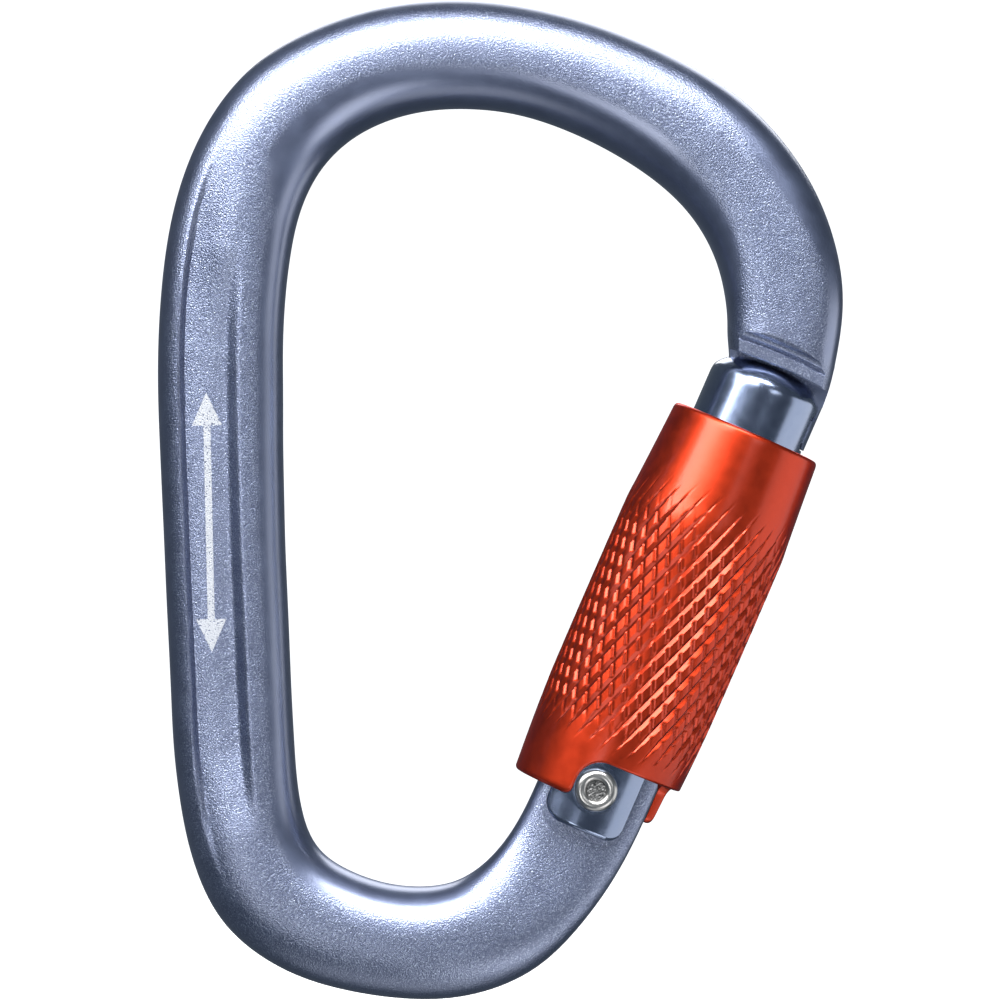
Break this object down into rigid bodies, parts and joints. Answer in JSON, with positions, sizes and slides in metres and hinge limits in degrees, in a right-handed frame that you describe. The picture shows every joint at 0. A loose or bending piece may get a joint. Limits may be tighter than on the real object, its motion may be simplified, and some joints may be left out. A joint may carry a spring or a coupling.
{
  "type": "locking carabiner",
  "caption": "Pear-shaped locking carabiner with a forged channelled frame, a spring-closed keyed gate and a knurled twist sleeve that returns over the hinge.",
  "frame": {"origin": "apex of the inner edge of the wide basket at mid thickness, where a rope or sling bears when the carabiner is loaded along its spine", "axes": "+Z from the narrow basket to the wide basket, +X from the spine towards the gate, +Y through the thickness, away from the side that shows the rivet's domed head"},
  "size_m": [0.0711, 0.0178, 0.1039],
  "materials": {
    "frame_anodised": "bead-blasted, blue-grey anodised",
    "gate_anodised": "smooth satin, blue-grey anodised",
    "sleeve_anodised": "satin, orange-red anodised, diamond knurl",
    "rivet_steel": "plated, upset centre",
    "spring_steel": "drawn wire",
    "inner_steel": "turned"
  },
  "bodies": {
    "frame": {"frame": "frame_anodised"},
    "gate": {"gate": "gate_anodised", "hinge_rivet": "rivet_steel", "gate_spring": "spring_steel", "sleeve_spring": "spring_steel"},
    "plunger": {"gate_plunger": "inner_steel"},
    "sleeve": {"locking_sleeve": "sleeve_anodised", "sleeve_ring": "inner_steel"}
  },
  "joints": [
    {"name": "gate_swing", "type": "hinge", "parent": "frame", "child": "gate", "pos_m": [0.01378, 0, -0.07053], "axis": [0, -1, 0], "range_deg": [0, 26], "stiffness_Nm_per_rad": 0.2, "springref_deg": -28.65},
    {"name": "sleeve_twist", "type": "hinge", "parent": "gate", "child": "sleeve", "pos_m": [0.01351, 0, -0.07052], "axis": [-0.3987, 0, -0.9171], "range_deg": [0, 95], "stiffness_Nm_per_rad": 0.012, "springref_deg": -45.84, "deforming": ["sleeve_spring"]},
    {"name": "plunger_slide", "type": "slide", "parent": "gate", "child": "plunger", "axis": [0.3987, 0, 0.9171], "range_m": [0, 0.0016], "deforming": ["gate_spring"]}
  ],
  "couplings": [
    {"joint": "plunger_slide", "follows": "gate_swing", "m_per_rad": 0.0035}
  ]
}
